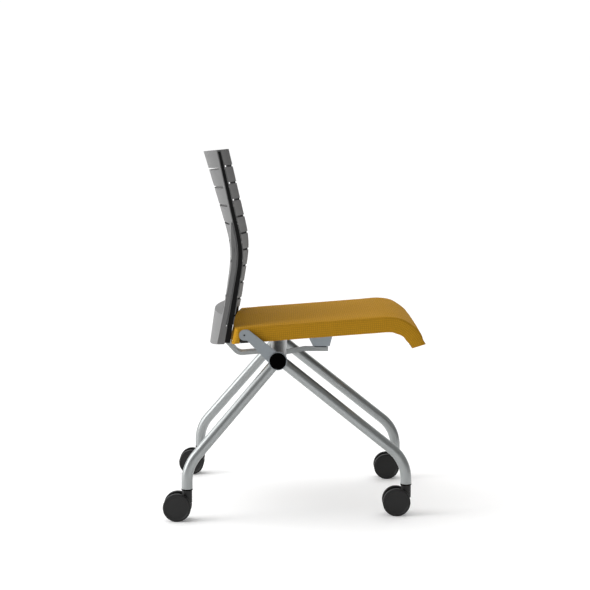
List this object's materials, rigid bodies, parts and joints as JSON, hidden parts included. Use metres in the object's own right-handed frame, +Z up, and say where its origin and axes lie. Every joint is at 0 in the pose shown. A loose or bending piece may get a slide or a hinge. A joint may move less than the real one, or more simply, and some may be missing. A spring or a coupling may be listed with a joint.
{
  "type": "nesting chair",
  "caption": "Armless nesting chair: flip-up padded seat, slatted bowed back on edge rails, splayed bent-tube legs on a cross tube, twin-wheel swivel casters.",
  "frame": {"origin": "middle of the footprint's bounding box, on the floor", "axes": "+Z up; the sitter faces -Y; +X is the sitter's left"},
  "size_m": [0.589, 0.5956, 0.8367],
  "materials": {
    "frame_paint": "satin silver",
    "bracket_paint": "satin silver",
    "cap_black": "matt black",
    "shell_grey": "satin moulded grey",
    "carrier_grey": "satin moulded grey",
    "rail_black": "matt black",
    "caster_black": "matt black",
    "wheel_black": "smooth black",
    "seat_fabric": "woven mustard upholstery",
    "pan_black": "grained black",
    "stop_grey": "satin blue-grey",
    "stop_rubber": "matt",
    "steel": "turned",
    "screw_black": "blackened"
  },
  "bodies": {
    "frame": {"cross_tube": "frame_paint", "end_cap_right": "cap_black", "seat_bracket_right": "bracket_paint", "pivot_pin_right": "steel", "back_rail_right": "rail_black", "end_cap_left": "cap_black", "seat_bracket_left": "bracket_paint", "pivot_pin_left": "steel", "back_rail_left": "rail_black", "seat_rest_bar": "frame_paint", "back_support_bar": "frame_paint", "back_bar_screws": "screw_black", "back_shell": "shell_grey", "back_carrier": "carrier_grey", "back_rail_screws": "screw_black", "back_arm_screws": "screw_black", "leg_rear_right": "frame_paint", "caster_socket_rear_right": "cap_black", "leg_rear_left": "frame_paint", "caster_socket_rear_left": "cap_black", "leg_front_right": "frame_paint", "caster_socket_front_right": "cap_black", "leg_front_left": "frame_paint", "caster_socket_front_left": "cap_black"},
    "seat": {"seat_pan": "pan_black", "seat_cushion": "seat_fabric", "seat_pan_screws": "screw_black", "seat_stop": "stop_grey", "seat_stop_pad": "stop_rubber", "pivot_bush_right": "pan_black", "pivot_bush_left": "pan_black"},
    "caster_rear_right": {"caster_body_rear_right": "caster_black", "caster_stem_rear_right": "steel", "caster_axle_rear_right": "steel"},
    "wheel_outer_rear_right": {"wheel_outer_rear_right": "wheel_black"},
    "wheel_inner_rear_right": {"wheel_inner_rear_right": "wheel_black"},
    "caster_rear_left": {"caster_body_rear_left": "caster_black", "caster_stem_rear_left": "steel", "caster_axle_rear_left": "steel"},
    "wheel_outer_rear_left": {"wheel_outer_rear_left": "wheel_black"},
    "wheel_inner_rear_left": {"wheel_inner_rear_left": "wheel_black"},
    "caster_front_right": {"caster_body_front_right": "caster_black", "caster_stem_front_right": "steel", "caster_axle_front_right": "steel"},
    "wheel_outer_front_right": {"wheel_outer_front_right": "wheel_black"},
    "wheel_inner_front_right": {"wheel_inner_front_right": "wheel_black"},
    "caster_front_left": {"caster_body_front_left": "caster_black", "caster_stem_front_left": "steel", "caster_axle_front_left": "steel"},
    "wheel_outer_front_left": {"wheel_outer_front_left": "wheel_black"},
    "wheel_inner_front_left": {"wheel_inner_front_left": "wheel_black"}
  },
  "joints": [
    {"name": "seat_flip", "type": "hinge", "parent": "frame", "child": "seat", "pos_m": [0, 0.1137, 0.4193], "axis": [-1, 0, 0], "range_deg": [0, 78]},
    {"name": "swivel_rear_right", "type": "hinge", "parent": "frame", "child": "caster_rear_right", "pos_m": [-0.2704, 0.2438, 0.07], "axis": [0, 0, 1], "continuous": true},
    {"name": "roll_outer_rear_right", "type": "hinge", "parent": "caster_rear_right", "child": "wheel_outer_rear_right", "pos_m": [-0.2704, 0.266, 0.03175], "axis": [1, 0, 0], "continuous": true},
    {"name": "roll_inner_rear_right", "type": "hinge", "parent": "caster_rear_right", "child": "wheel_inner_rear_right", "pos_m": [-0.2704, 0.266, 0.03175], "axis": [1, 0, 0], "continuous": true},
    {"name": "swivel_rear_left", "type": "hinge", "parent": "frame", "child": "caster_rear_left", "pos_m": [0.2704, 0.2438, 0.07], "axis": [0, 0, 1], "continuous": true},
    {"name": "roll_outer_rear_left", "type": "hinge", "parent": "caster_rear_left", "child": "wheel_outer_rear_left", "pos_m": [0.2704, 0.266, 0.03175], "axis": [1, 0, 0], "continuous": true},
    {"name": "roll_inner_rear_left", "type": "hinge", "parent": "caster_rear_left", "child": "wheel_inner_rear_left", "pos_m": [0.2704, 0.266, 0.03175], "axis": [1, 0, 0], "continuous": true},
    {"name": "swivel_front_right", "type": "hinge", "parent": "frame", "child": "caster_front_right", "pos_m": [-0.213, -0.2559, 0.07], "axis": [0, 0, 1], "continuous": true},
    {"name": "roll_outer_front_right", "type": "hinge", "parent": "caster_front_right", "child": "wheel_outer_front_right", "pos_m": [-0.213, -0.2337, 0.03175], "axis": [1, 0, 0], "continuous": true},
    {"name": "roll_inner_front_right", "type": "hinge", "parent": "caster_front_right", "child": "wheel_inner_front_right", "pos_m": [-0.213, -0.2337, 0.03175], "axis": [1, 0, 0], "continuous": true},
    {"name": "swivel_front_left", "type": "hinge", "parent": "frame", "child": "caster_front_left", "pos_m": [0.213, -0.2559, 0.07], "axis": [0, 0, 1], "continuous": true},
    {"name": "roll_outer_front_left", "type": "hinge", "parent": "caster_front_left", "child": "wheel_outer_front_left", "pos_m": [0.213, -0.2337, 0.03175], "axis": [1, 0, 0], "continuous": true},
    {"name": "roll_inner_front_left", "type": "hinge", "parent": "caster_front_left", "child": "wheel_inner_front_left", "pos_m": [0.213, -0.2337, 0.03175], "axis": [1, 0, 0], "continuous": true}
  ]
}
